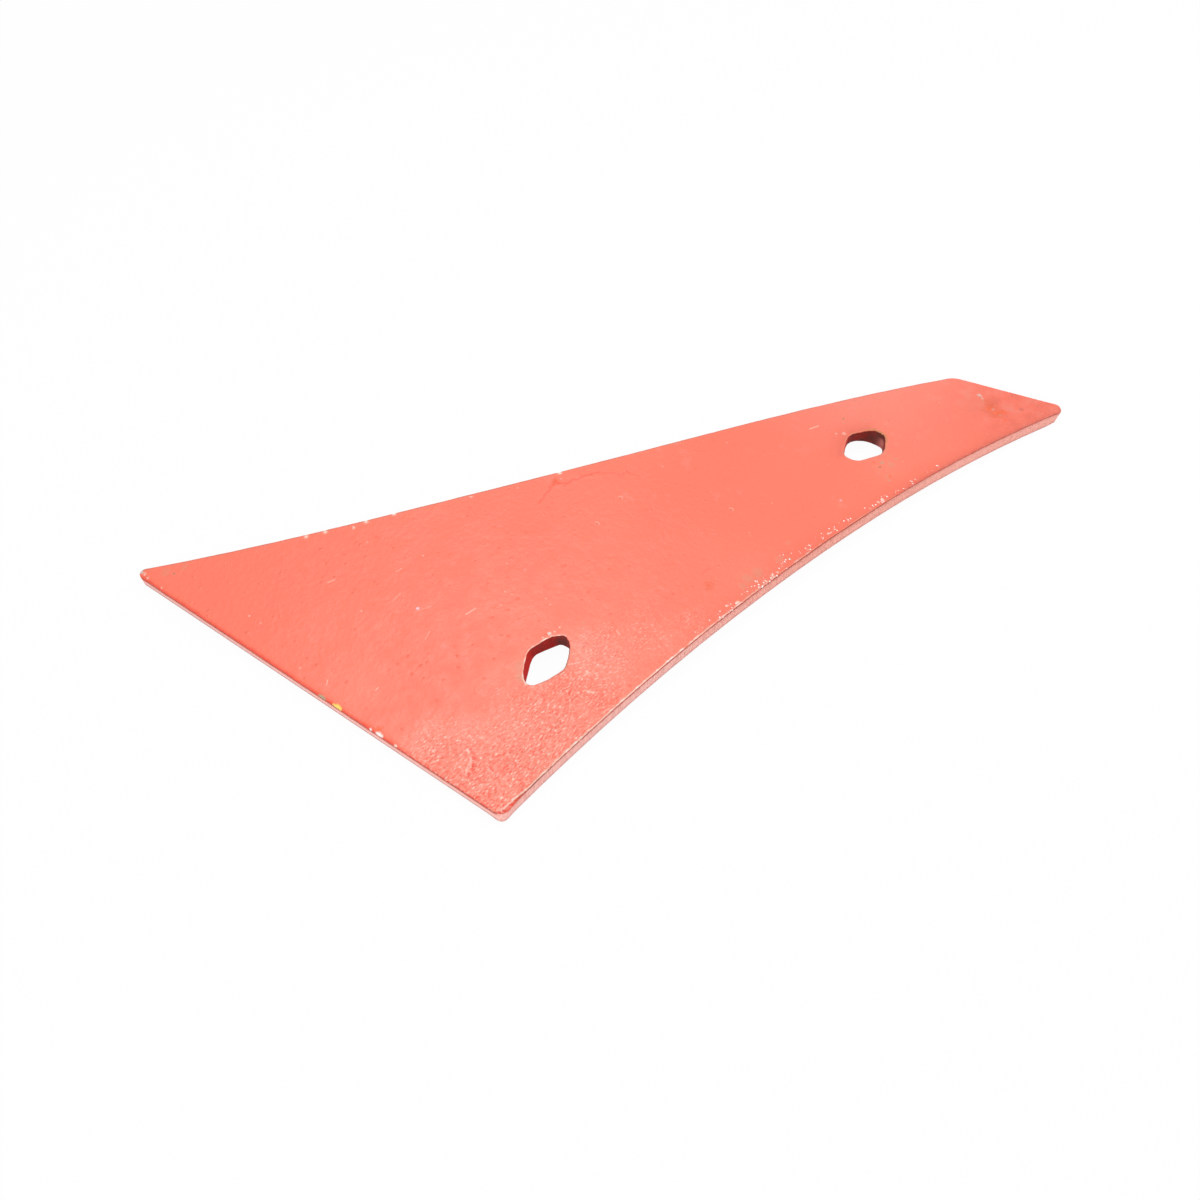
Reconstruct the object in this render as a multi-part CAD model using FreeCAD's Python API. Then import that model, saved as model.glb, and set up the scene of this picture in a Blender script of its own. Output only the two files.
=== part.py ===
"""Mouldboard breast: the long tapering front plate of a plough body, with two lozenge bolt holes.

Millimetres. X runs from the wide end to the narrow end, Y towards the long front edge, and Z up out of the
painted face. The plate lies on its back, bowed along X, on its wide end and on the tip of its narrow end.
"""

import FreeCAD, Part
import math
import os

from FreeCAD import Vector

# Plate
thickness = 8.0
bow_radius = 5000.0

# Plan outline, before the corners are rounded
wide_end = 268.3
length = 434.2
tip_sweep = 136.1
narrow_end = 77.4
narrow_end_deg = 10.9

# Hollow of each long edge: the share of the edge's run, and how far it lies inside its straight line
front_hollow = [(0.12, 6.2), (0.31, 8.1), (0.55, 5.4), (0.79, -0.2)]
rear_hollow = [(0.25, 14.0), (0.51, 19.6), (0.76, 15.6)]

# Corner radii of the plan
toe_radius = 3.5
crown_radius = 14.0
heel_radius = 7.0
tip_radius = 6.0

# Bolt holes: elongated six-sided holes with blunt tips
hole_length = 34.5
hole_width = 21.6
hole_tip_width = 6.5
hole_corner_radius = 4.0
hole_tip_radius = 1.8

# Hole places: in from an end of the plate, and in from the straight line between the rear corners
wide_hole_in = 83.5
wide_hole_inset = 59.2
wide_hole_deg = 1.0
tip_hole_in = 110.3
tip_hole_inset = 62.5
tip_hole_deg = -12.5

# Broken edges
face_break = 0.7
back_break = 0.5
hole_break = 0.5

# Spare length of a cutting body past the plate
overrun = 5.0


def bow_centre():
    """Centre of the bow, placed so that the back meets Z = 0 at both ends of the plate."""
    back_radius = bow_radius - thickness
    drop = math.sqrt(back_radius**2 - (length / 2) ** 2)
    return Vector(length / 2, 0, -drop)


def bow_height(x, radius):
    """Height of a bowed face of the given radius at x."""
    centre = bow_centre()
    return centre.z + math.sqrt(radius**2 - (x - centre.x) ** 2)


def plan_corners():
    """Sharp corners of the plan: heel, toe, crown and tip. The heel is at X = 0, Y = 0."""
    angle = math.radians(narrow_end_deg)
    heel = Vector(0, 0, 0)
    toe = Vector(0, wide_end, 0)
    tip = Vector(length, -tip_sweep, 0)
    crown = tip + Vector(-math.sin(angle), math.cos(angle), 0) * narrow_end
    return heel, toe, crown, tip


def on_line(start, end, share, inset):
    """Point at a share of the run from start to end, moved along Y by the inset."""
    return start + (end - start) * share + Vector(0, inset, 0)


def smooth_edge(points):
    """Smooth curve through the points."""
    curve = Part.BSplineCurve()
    curve.interpolate(points)
    return curve.toShape()


def blank():
    """Upright block with the plan's outline and sharp corners."""
    heel, toe, crown, tip = plan_corners()
    front = [toe] + [on_line(toe, crown, share, -hollow) for share, hollow in front_hollow] + [crown]
    rear = [heel] + [on_line(heel, tip, share, hollow) for share, hollow in rear_hollow] + [tip]
    outline = Part.Wire(
        [
            smooth_edge(front),
            Part.makeLine(crown, tip),
            smooth_edge(rear[::-1]),
            Part.makeLine(heel, toe),
        ]
    )
    top = bow_height(length / 2, bow_radius) + overrun
    block = Part.Face(outline).extrude(Vector(0, 0, top + overrun))
    block.translate(Vector(0, 0, -overrun))
    return block


def corner_edge(block, corner):
    """The block's upright edge that is nearest to a corner of the plan."""
    upright = [e for e in block.Edges if abs(e.Vertexes[0].Z - e.Vertexes[-1].Z) > thickness]
    return min(upright, key=lambda e: (Vector(e.CenterOfMass.x, e.CenterOfMass.y, 0) - corner).Length)


def rounded_blank():
    """The block with its four upright corners rounded."""
    heel, toe, crown, tip = plan_corners()
    block = blank()
    for corner, radius in ((heel, heel_radius), (toe, toe_radius), (crown, crown_radius), (tip, tip_radius)):
        block = block.makeFillet(radius, [corner_edge(block, corner)])
    return block


def bowed_slab():
    """Slab of the plate's thickness, bowed along X and wider than the plate."""
    heel, toe, crown, tip = plan_corners()
    low_y = tip.y - overrun
    wide = toe.y + overrun - low_y

    def arc(radius):
        xs = (-overrun, length / 2, length + overrun)
        return Part.Arc(*[Vector(x, low_y, bow_height(x, radius)) for x in xs]).toShape()

    back = arc(bow_radius - thickness)
    face = arc(bow_radius)
    start = Part.makeLine(back.firstVertex().Point, face.firstVertex().Point)
    end = Part.makeLine(face.lastVertex().Point, back.lastVertex().Point)
    section = Part.Face(Part.Wire([back, end, face, start]))
    return section.extrude(Vector(0, wide, 0))


def hole_cutter(x, y, turn_deg):
    """Upright six-sided bar with rounded corners, square to the bowed face at its place."""
    half_length = hole_length / 2
    half_width = hole_width / 2
    half_tip = hole_tip_width / 2
    plan = [
        (-half_length, -half_tip, hole_tip_radius),
        (0, -half_width, hole_corner_radius),
        (half_length, -half_tip, hole_tip_radius),
        (half_length, half_tip, hole_tip_radius),
        (0, half_width, hole_corner_radius),
        (-half_length, half_tip, hole_tip_radius),
    ]
    depth = thickness + 2 * overrun
    bar = Part.makePolygon([Vector(px, py, -depth) for px, py, radius in plan + plan[:1]])
    bar = Part.Face(bar).extrude(Vector(0, 0, depth + overrun))
    for px, py, radius in plan:
        edge = corner_edge(bar, Vector(px, py, 0))
        bar = bar.makeFillet(radius, [edge])
    centre = bow_centre()
    tilt_deg = math.degrees(math.asin((x - centre.x) / bow_radius))
    bar.rotate(Vector(0, 0, 0), Vector(0, 0, 1), turn_deg)
    bar.rotate(Vector(0, 0, 0), Vector(0, 1, 0), tilt_deg)
    bar.translate(Vector(x, y, bow_height(x, bow_radius)))
    return bar


def hole_places():
    """Centre and turn of each bolt hole."""
    heel, toe, crown, tip = plan_corners()
    wide = on_line(heel, tip, wide_hole_in / length, wide_hole_inset)
    narrow = on_line(heel, tip, 1 - tip_hole_in / length, tip_hole_inset)
    return [(wide.x, wide.y, wide_hole_deg), (narrow.x, narrow.y, tip_hole_deg)]


def bowed_faces(plate):
    """The bowed back and the bowed face, which are the plate's two largest faces."""
    largest = sorted(plate.Faces, key=lambda face: face.Area)[-2:]
    return sorted(largest, key=lambda face: face.CenterOfMass.z)


def hole_rims(plate, x, y):
    """Rim edges of the hole at a place, on both sides of the plate."""
    place = Vector(x, y, 0)
    rims = []
    for face in bowed_faces(plate):
        for edge in face.Edges:
            middle = edge.CenterOfMass
            if (Vector(middle.x, middle.y, 0) - place).Length < hole_length:
                rims.append(edge)
    return rims


def mouldboard_breast():
    """The whole plate, moved so that the middle of its underside is the origin."""
    plate = rounded_blank().common(bowed_slab())
    plate = plate.makeChamfer(face_break, bowed_faces(plate)[1].Edges)
    plate = plate.makeChamfer(back_break, bowed_faces(plate)[0].Edges)
    for x, y, turn_deg in hole_places():
        plate = plate.cut(hole_cutter(x, y, turn_deg))
        plate = plate.makeChamfer(hole_break, hole_rims(plate, x, y))
    solid = plate.Solids[0]
    box = solid.optimalBoundingBox(False)
    solid.translate(Vector(-box.Center.x, -box.Center.y, -box.ZMin))
    return solid


os.makedirs("parts", exist_ok=True)
mouldboard_breast().exportStep("parts/mouldboard_breast.step")
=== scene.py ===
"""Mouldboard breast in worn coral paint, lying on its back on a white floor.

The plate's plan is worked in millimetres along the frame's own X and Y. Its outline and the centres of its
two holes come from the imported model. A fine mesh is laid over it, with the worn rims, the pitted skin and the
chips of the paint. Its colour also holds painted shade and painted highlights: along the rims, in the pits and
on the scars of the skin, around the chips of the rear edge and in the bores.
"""

import math

import bpy
import numpy as np
from mathutils import Matrix, Vector, kdtree, noise
from mathutils.geometry import delaunay_2d_cdt


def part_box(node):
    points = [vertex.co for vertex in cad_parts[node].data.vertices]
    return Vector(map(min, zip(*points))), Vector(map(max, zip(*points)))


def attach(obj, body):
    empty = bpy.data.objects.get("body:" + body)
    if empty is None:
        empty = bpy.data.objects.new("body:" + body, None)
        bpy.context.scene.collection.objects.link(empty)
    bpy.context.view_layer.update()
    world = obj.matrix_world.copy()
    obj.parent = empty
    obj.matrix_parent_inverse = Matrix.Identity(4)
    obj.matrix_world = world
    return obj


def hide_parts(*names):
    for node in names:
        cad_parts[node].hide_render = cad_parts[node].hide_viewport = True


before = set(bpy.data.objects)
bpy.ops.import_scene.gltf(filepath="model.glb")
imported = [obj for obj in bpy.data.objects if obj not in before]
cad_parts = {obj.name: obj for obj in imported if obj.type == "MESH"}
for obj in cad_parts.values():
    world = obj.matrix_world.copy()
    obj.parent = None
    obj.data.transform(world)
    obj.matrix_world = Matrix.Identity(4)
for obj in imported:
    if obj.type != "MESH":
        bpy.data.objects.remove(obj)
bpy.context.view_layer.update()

MM = 0.001
NODE = "mouldboard_breast"

# Plate, in mm
bow_radius = 5000.0
bow_middle = 1.12
thickness = 8.0
plate_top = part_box(NODE)[1].z / MM
coat = 0.35
heel = np.array([-215.98, -66.30])
toe = np.array([-215.98, 202.0])
tip = np.array([218.22, -202.4])

# Mesh spacing, in mm
edge_spacing = 0.95
hole_spacing = 0.55
face_spacing = 1.4
back_spacing = 3.4
pit_spacing = 0.75
mark_spacing = 0.42

# Step of the fine track that an outline's points are picked from, in mm
track_step = 0.1

# How many times closer together the outer edge's points are at its fine places
fine_density = 2.4

# Passes that smooth the direction out of the steel along an outline
smoothing_passes = 36

# Reach and spread of the blur that rounds a hole's outline, in steps of its track
blur_reach = 18
blur_spread = 7

# Rows of the outer edge, from the face down: how far in, how far down, and the shares of a worn corner's
# depth and drop
rim_rows = [
    (3.40, 0.00, 1.0, 0.0),
    (2.30, 0.00, 1.0, 0.0),
    (1.50, 0.00, 1.0, 0.0),
    (1.00, 0.00, 1.0, 0.0),
    (0.62, 0.05, 1.0, 0.05),
    (0.34, 0.20, 0.8, 0.3),
    (0.16, 0.45, 0.45, 0.65),
    (0.05, 0.85, 0.1, 1.0),
    (0.00, 1.60, 0.0, 0.8),
]
# Rows that hold the raised lip, the dark groove under it, and the first of the wall
LIP_ROWS = (3, 4)
GROOVE_ROWS = (5, 6)
WALL_ROW = 7
# Rows of a hole's rim, from the face down: how far in and how far down, and the first with the bore's paint
hole_rows = [(2.2, 0.00), (1.3, 0.00), (0.8, 0.02), (0.45, 0.09), (0.2, 0.26), (0.05, 0.55), (0.0, 1.1)]
BORE_ROW = 4
# Rows down the wall, as a share of the way from the last row above to the first row below
wall_shares = [0.18, 0.36, 0.54, 0.72, 0.9]
# Rows of the underside's edge: how far in, and how far up from the back
under_rows = [(0.0, 0.9), (0.06, 0.5), (0.22, 0.2), (0.6, 0.03), (1.5, 0.0), (3.3, 0.0)]
# How far the wide end's rim droops, and how fast that fades into the face, in mm
droop_depth = 0.9
droop_fade = 0.9

# Worn outlines of the two holes, in mm from the hole's centre: X and Y on the face, then X and Y on the back
hole_outlines = [
    [
        (-17.75, 1.2, -17.2, 1.4), (-16.5, 3.3, -16.6, 3.4), (-14.4, 5.2, -14.0, 4.8),
        (-11.1, 7.4, -10.9, 6.2), (-7.6, 9.2, -7.6, 7.6), (-3.4, 11.3, -3.8, 9.4),
        (0.4, 11.6, -0.2, 10.5), (4.6, 9.8, 2.9, 10.4), (9.1, 8.2, 7.8, 7.8), (12.9, 6.7, 12.0, 5.3),
        (15.4, 3.5, 15.3, 3.3), (17.1, 1.7, 16.0, 1.5), (16.8, -0.3, 16.1, -0.4),
        (15.2, -2.7, 16.1, -2.4), (13.2, -5.0, 14.0, -4.6), (11.8, -5.7, 11.8, -5.6),
        (7.3, -8.2, 7.3, -7.7), (4.0, -9.4, 4.0, -9.0), (1.8, -10.1, 1.8, -9.8),
        (-0.5, -10.2, -0.5, -10.1), (-2.5, -9.8, -2.5, -9.6), (-10.0, -6.9, -10.0, -6.5),
        (-15.6, -3.8, -15.8, -3.8), (-16.9, -2.4, -17.0, -2.4), (-17.75, -0.6, -17.2, -0.6),
    ],
    [
        (-15.8, 1.4, -15.6, 1.4), (-15.8, 5.1, -15.6, 4.6), (-14.9, 7.1, -14.8, 6.4),
        (-13.7, 8.1, -13.4, 7.2), (-11.1, 9.1, -10.8, 8.2), (-6.2, 10.5, -6.0, 9.9),
        (-1.8, 11.7, -1.5, 11.4), (1.8, 11.9, 2.5, 12.1), (5.2, 10.8, 6.2, 11.2), (8.4, 8.1, 9.2, 8.8),
        (12.3, 5.0, 11.7, 4.8), (14.6, 2.7, 12.5, 2.2), (16.0, 0.0, 12.8, -0.6), (15.7, -3.4, 12.8, -3.8),
        (14.7, -6.3, 12.3, -6.6), (13.0, -7.7, 11.7, -8.0), (9.3, -9.1, 9.3, -9.4),
        (4.7, -11.0, 4.7, -10.6), (1.9, -11.3, 1.9, -10.9), (0.2, -11.5, 0.2, -11.0),
        (-2.4, -10.7, -2.4, -10.2), (-7.5, -7.3, -7.5, -7.0), (-13.8, -2.9, -13.6, -2.8),
        (-14.9, -1.4, -14.8, -1.4),
    ],
]

# Corners that differ from the plain outline: place, then reach and how far out, for the face and the back
corner_shapes = [(heel, 3.6, 0.2, 3.6, 2.0), (toe, 5.0, 0.9, 5.0, 0.9), (tip, 7.5, 3.8, 11.0, -1.9)]


def colour(red, green, blue):
    """Linear colour from display values of 0 to 255."""
    shown = np.array([red, green, blue]) / 255
    return np.where(shown <= 0.04045, shown / 12.92, ((shown + 0.055) / 1.055) ** 2.4)


coral = colour(250, 120, 95)
coral_deep = colour(238, 78, 56)
# Paler coral of the painted sheen near the heel and the wide hole
sheen_coral = colour(255, 150, 130)
dull_coral = colour(222, 134, 110)
tip_coral = colour(216, 96, 74)
faded_coral = colour(236, 138, 122)
# Pale colour of the painted sheen on the crests of the pitted skin
sheen = colour(255, 182, 162)
# Pale colour of the painted highlight along the scars' crests
scar_highlight = colour(255, 208, 192)
cream = colour(255, 228, 210)
white = colour(252, 246, 240)
# Deep red-brown of the painted shade along the rims and at the top of the holes' bores
rim_shade_brown = colour(188, 70, 48)
wall_coral = colour(255, 178, 162)
wall_pink = colour(255, 192, 182)
wall_pale = colour(250, 190, 180)
wall_mauve = colour(168, 104, 102)
# Red paint of the bores, then the colours of the painted shade and painted light on their walls
bore_red = colour(206, 26, 12)
bore_shade_red = colour(150, 26, 16)
bore_shade_brown = colour(100, 44, 36)
bore_lit_pink = colour(214, 130, 122)
steel_grey = colour(206, 206, 196)
green_grey = colour(176, 162, 132)
olive = colour(124, 108, 78)
tan = colour(204, 128, 82)
yellow = colour(252, 222, 110)
lavender = colour(236, 214, 232)
orange = colour(246, 98, 46)
rust = colour(222, 92, 48)
brown = colour(136, 66, 50)


def face_height(x):
    """Height of the bowed face at x, over its coat of paint and scale."""
    return plate_top + coat - bow_radius + np.sqrt(bow_radius**2 - (x - bow_middle) ** 2)


def back_height(x):
    """Height of the bowed back at x."""
    radius = bow_radius - thickness
    return plate_top - thickness - radius + np.sqrt(radius**2 - (x - bow_middle) ** 2)


def smooth(low, high, value):
    """Smooth step from 0 at low to 1 at high."""
    t = np.clip((value - low) / (high - low), 0, 1)
    return t * t * (3 - 2 * t)


def blot(points, centre, radius):
    """Soft round spot, 1 at its centre."""
    gap = np.linalg.norm(points[:, :2] - np.array(centre), axis=1)
    return np.exp(-((gap / radius) ** 2))


def rough(points, size, octaves=1, seed=0.0):
    """Smooth noise of about -1 to 1, with features of the given size in mm."""
    places = points / size + (0, 0, seed)
    return np.array([noise.fractal(place, 1.0, 2.0, octaves) for place in places])


def turned(loop, way):
    """The loop, counterclockwise for a way of 1 and clockwise for -1."""
    x, y = loop.T
    area = np.sum(x * np.roll(y, -1) - y * np.roll(x, -1))
    return loop if area * way > 0 else loop[::-1]


def closed_loops(beside):
    """Rings of point numbers, from the neighbours of each point."""
    loops = []
    while beside:
        start = min(beside)
        loop = [start]
        while True:
            onward = [n for n in beside[loop[-1]] if n not in loop[-2:]]
            if not onward or (onward[0] == start and len(loop) > 2):
                break
            loop.append(onward[0])
        for vertex in loop:
            del beside[vertex]
        loops.append(loop)
    return loops


def wall_outlines(node):
    """Plan outlines of the node's walls: the outside, counterclockwise, then each hole, clockwise."""
    mesh = node.data
    mesh.calc_loop_triangles()
    points = np.array([v.co for v in mesh.vertices]) / MM
    corners = np.array([t.vertices for t in mesh.loop_triangles])
    points, same = np.unique(points.round(3), axis=0, return_inverse=True)
    corners = same.ravel()[corners]
    a, b, c = (points[corners[:, k]] for k in range(3))
    normal = np.cross(b - a, c - a)
    upright = np.abs(normal[:, 2]) < 0.2 * np.linalg.norm(normal, axis=1)
    middle = (face_height(points[:, 0]) + back_height(points[:, 0])) / 2
    uses = {}
    for triangle in corners[upright]:
        for i, j in ((0, 1), (1, 2), (2, 0)):
            edge = frozenset((triangle[i], triangle[j]))
            if len(edge) == 2:
                uses[edge] = uses.get(edge, 0) + 1
    beside = {}
    for edge, count in uses.items():
        i, j = edge
        if count == 1 and points[i, 2] > middle[i] and points[j, 2] > middle[j]:
            beside.setdefault(i, []).append(j)
            beside.setdefault(j, []).append(i)
    loops = sorted((points[loop, :2] for loop in closed_loops(beside)), key=lambda loop: np.ptp(loop[:, 0]))
    holes = sorted(loops[:-1], key=lambda loop: loop[:, 0].mean())
    return [turned(loops[-1], 1)] + [turned(hole, -1) for hole in holes]


def resampled(loop, spacing, fine_places=()):
    """Closed outline with points about the spacing apart, and closer together at the fine places."""
    closed = np.vstack([loop, loop[:1]])
    run = np.concatenate([[0], np.cumsum(np.linalg.norm(np.diff(closed, axis=0), axis=1))])
    steps = np.linspace(0, run[-1], int(run[-1] / track_step))
    track = np.column_stack([np.interp(steps, run, closed[:, k]) for k in (0, 1)])
    density = np.full(len(steps), 1 / spacing)
    for place, reach in fine_places:
        near = np.linalg.norm(track - np.array(place), axis=1) < reach
        density[near] = fine_density / spacing
    weight = np.concatenate([[0], np.cumsum(density[1:] * np.diff(steps))])
    count = round(weight[-1])
    at = np.interp(np.arange(count) * weight[-1] / count, weight, steps)
    return np.column_stack([np.interp(at, run, closed[:, k]) for k in (0, 1)])


def outward(loop):
    """Direction out of the steel at each point of an outline, smoothed along it."""
    along = np.roll(loop, -1, axis=0) - np.roll(loop, 1, axis=0)
    along /= np.linalg.norm(along, axis=1)[:, None]
    out = np.column_stack([along[:, 1], -along[:, 0]])
    for _ in range(smoothing_passes):
        out = out + np.roll(out, 1, axis=0) + np.roll(out, -1, axis=0)
        out /= np.linalg.norm(out, axis=1)[:, None]
    return out


class Edge:
    """One wall of the plate in plan: its outlines on the face and the back, and the way out of the steel."""

    def __init__(self, face_loop, back_loop):
        self.points = face_loop
        self.under = back_loop
        self.out = outward(face_loop)


def outer_edge(loop, fine):
    """The plate's outer wall, with its corners as they are worn."""
    loop = resampled(loop, edge_spacing, fine)
    out = outward(loop)
    face_loop, back_loop = loop.copy(), loop.copy()
    for place, face_reach, face_out, back_reach, back_out in corner_shapes:
        face_loop += face_out * blot(loop, place, face_reach)[:, None] * out
        back_loop += back_out * blot(loop, place, back_reach)[:, None] * out
    return Edge(face_loop, back_loop)


def hole_edge(loop, worn_outline):
    """A bolt hole's wall, clockwise: its worn outline around the centre of the plain one."""
    corners = np.array(worn_outline + worn_outline[:1])
    run = np.concatenate([[0], np.cumsum(np.linalg.norm(np.diff(corners[:, :2], axis=0), axis=1))])
    at = np.arange(0, run[-1], track_step)
    track = np.column_stack([np.interp(at, run, corners[:, k]) for k in range(4)])
    blur = np.exp(-((np.arange(-blur_reach, blur_reach + 1) / blur_spread) ** 2) / 2)
    blur /= blur.sum()
    padded = np.pad(track, ((blur_reach, blur_reach), (0, 0)), "wrap")
    track = np.column_stack([np.convolve(padded[:, k], blur, "valid") for k in range(4)])
    chosen = np.linspace(0, len(at), round(run[-1] / hole_spacing), endpoint=False).astype(int)
    centre = loop.mean(axis=0)
    return Edge(centre + track[chosen, :2], centre + track[chosen, 2:])


# Chips, specks and stains of the paint: colour, how much of it shows, and places with their radius in mm
spots = [
    (cream, 0.85, [
        (-118.8, -24.3, 1.0), (-116.1, -26.0, 0.5), (-112.3, -26.6, 0.45), (-122.7, -22.7, 0.4),
        (-44.3, -99.3, 0.8), (-17.1, -106.2, 0.8), (28.6, -118.6, 0.7), (70.7, -133.6, 1.2),
        (68.0, -132.4, 0.7), (-19.4, 39.4, 0.8), (-121.4, 116.2, 0.6), (-64.9, 73.1, 0.5),
        (-49.7, -95.0, 0.6), (-22.6, -105.0, 0.6), (-13.5, -107.6, 0.5), (33.6, -119.9, 0.5),
        (75.0, -134.8, 0.5), (-200.6, 121.6, 0.5),
    ]),
    (cream, 0.35, [
        (-118.3, 9.1, 0.4), (-93.4, 23.9, 0.4), (-101.0, -9.2, 0.4), (-103.0, -13.4, 0.4),
        (-109.7, 12.8, 0.5), (-209.2, 74.4, 0.5), (-115.5, 67.9, 0.5), (-164.0, 71.4, 0.5),
        (-43.4, 53.8, 0.6), (-22.9, 36.4, 0.5), (20.3, -9.8, 0.5), (60.9, -32.3, 0.5), (31.2, -80.0, 0.4),
        (3.2, -79.8, 0.4), (107.2, -85.5, 0.8), (110.1, -89.7, 1.3), (10.8, -113.9, 0.7),
        (44.0, -123.6, 0.6), (60.3, -130.4, 0.6), (-109.0, 8.5, 0.4), (-213.0, 194.4, 0.7),
        (-214.0, 190.3, 0.5), (-200.4, 112.8, 0.5), (184.4, -162.0, 0.9), (-125.9, 101.8, 0.5),
    ]),
    (lavender, 0.9, [(-145.4, 46.4, 0.8)]),
    (lavender, 0.4, [(56.3, -113.0, 0.7), (-91.2, 12.7, 0.4)]),
    (green_grey, 0.55, [
        (-102.6, -35.9, 0.6), (-105.9, -37.5, 0.5), (-1.2, -108.4, 0.9), (122.6, -83.0, 0.8),
        (119.5, -85.2, 0.5), (99.7, -120.4, 1.2), (88.0, -130.0, 0.8), (107.5, -126.2, 0.6),
        (190.8, -151.8, 0.7), (184.0, -165.4, 0.8), (-2.8, -104.4, 0.7), (102.8, -123.6, 0.5),
        (108.7, -121.7, 0.5),
    ]),
    (green_grey, 0.16, [
        (9.2, -102.2, 1.8), (-19.5, -98.1, 3.4), (-26.7, -95.0, 3.0), (-5.2, -103.8, 2.4),
        (90.6, -127.6, 1.6), (-203.8, 179.6, 1.2), (-33.0, -95.6, 2.4), (101.0, -126.0, 2.0),
        (-206.0, 184.5, 2.6), (-197.0, 178.0, 2.2),
    ]),
    (olive, 0.75, [(95.2, -121.0, 0.7), (122.4, -83.2, 0.6), (-203.8, 179.6, 0.5), (92.4, -117.6, 0.4)]),
    (steel_grey, 0.6, [(195.3, -147.6, 1.6), (187.0, -159.6, 0.8), (193.5, -149.6, 0.8)]),
    (steel_grey, 0.95, [(-212.6, 197.6, 1.2), (-213.4, 195.8, 0.9), (-118.8, -24.3, 0.8)]),
    (cream, 0.7, [(-213.4, 193.4, 0.7), (-214.4, 190.1, 0.6), (-214.5, 178.2, 0.5)]),
    (orange, 0.75, [
        (96.6, -115.8, 1.0), (91.2, -129.2, 0.9), (186.4, -157.3, 1.9), (184.6, -162.4, 2.2),
        (188.4, -166.2, 1.9), (181.2, -169.6, 1.1), (-213.0, 14.9, 1.5), (-25.9, 38.0, 1.2),
        (-29.6, 37.6, 0.8), (-43.1, -80.0, 0.7),
    ]),
    (rust, 0.4, [(-43.1, -80.0, 3.4), (186.0, -161.0, 7.0), (191.0, -156.0, 4.0), (-26.5, 37.6, 2.4)]),
    (brown, 0.4, [(197.1, -174.8, 1.4), (70.4, -79.0, 0.5), (-115.7, -45.0, 0.5)]),
    (coral_deep, 0.5, [
        (-139.6, 107.3, 0.7), (57.9, -24.6, 0.6), (30.4, -27.8, 0.5), (-120.2, 99.2, 1.0),
        (-129.1, 100.6, 0.8), (-201.9, -39.0, 1.4), (-142.6, -54.5, 0.7),
    ]),
]

# How many of these rows are sunk into the face, and how many have a finer mesh
sunk_rows = 2
finer_rows = 6

# Clusters of fine chips along the rear edge: place, reach along it and across it, and how dense they are
clusters = [
    ((-56, -95.4), 9, 3.2, 0.7), ((-45, -98.6), 5, 2.5, 0.8), ((-27, -103.0), 11, 4.2, 1.0),
    ((-13, -107.6), 6, 3.0, 0.9), ((-2, -106.2), 6, 4.0, 0.7), ((11, -113.2), 5, 2.8, 0.8),
    ((29, -118.0), 9, 2.8, 1.0), ((44, -122.6), 5, 2.4, 0.8), ((58, -128.0), 4, 2.0, 0.6),
    ((70, -132.6), 8, 2.6, 1.0), ((91, -141.0), 12, 2.0, 0.8), ((112, -148.4), 10, 1.8, 0.6),
    ((-72, -91.0), 9, 2.4, 0.4),
]

# Fall of the rear edge towards the tip, per mm of X
rear_slope = 0.36

# Chips of the wide end's rim: place, half length along the rim, half width, colour
rim_chips = [
    ((-215.6, 41.5), 2.9, 1.3, yellow), ((-215.6, 52.4), 2.6, 0.9, green_grey),
    ((-215.3, 12.6), 2.6, 0.8, white), ((-215.6, 18.3), 0.7, 0.6, white),
    ((-215.4, 1.5), 1.0, 0.5, cream),
]

# Small blisters with a pale ring
blisters = [(-16.0, -2.6), (13.0, -62.3), (-40.4, -2.2)]

# Scratches of the paint: start, end, half width and how much of their pale colour shows
scratches = [
    ((-133.8, 21.4), (-127.8, 19.4), 0.5, 0.6), ((-129.1, -44.1), (-124.8, -48.2), 0.45, 0.6),
    ((-130.3, -54.6), (-126.8, -56.6), 0.6, 0.7), ((-128.7, -57.0), (-125.8, -58.4), 0.5, 0.4),
    ((-137.0, -61.9), (-135.5, -64.7), 0.7, 0.9), ((-160.0, 100.6), (-156.2, 98.8), 0.5, 0.5),
    ((-132.9, 73.4), (-129.3, 71.9), 0.5, 0.35), ((-159.0, 29.7), (-153.5, 30.8), 0.4, 0.35),
    ((-208.9, 55.1), (-206.4, 56.7), 0.5, 0.5), ((-197.2, 31.1), (-195.1, 31.0), 0.5, 0.5),
    ((-150.4, 61.0), (-143.1, 61.0), 0.35, 0.25), ((-148.0, 46.0), (-140.5, 41.0), 0.35, 0.25),
    ((-97.0, -53.6), (-98.4, -56.8), 0.6, 0.4), ((101.5, -69.5), (107.5, -73.0), 0.6, 0.6),
]

# Hairline cracks with a red tint: how much of it shows, then the run of places
cracks = [
    (0.5, [(-45.7, 35.5), (-38.9, 36.8), (-32.3, 37.1), (-25.9, 38.0)]),
    (0.55, [
        (-26.9, 37.2), (-23.9, 31.2), (-20.5, 29.8), (-16.1, 27.0), (-12.3, 25.1), (-8.9, 23.0),
        (-5.8, 20.7),
    ]),
    (0.3, [
        (-5.8, 20.7), (-3.7, 16.1), (-0.3, 12.5), (0.0, 9.8), (0.7, 7.2), (3.8, 6.4), (4.8, 2.6),
        (6.1, -2.4),
    ]),
    (0.12, [(5.3, -10.1), (9.8, -15.3)]),
    (0.12, [
        (-61.1, -17.0), (-57.0, -22.6), (-56.0, -26.0), (-57.1, -31.6), (-58.2, -35.7), (-59.4, -39.1),
    ]),
    (0.25, [(-37.1, -72.6), (-34.3, -72.9), (-32.8, -73.9)]),
]

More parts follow.
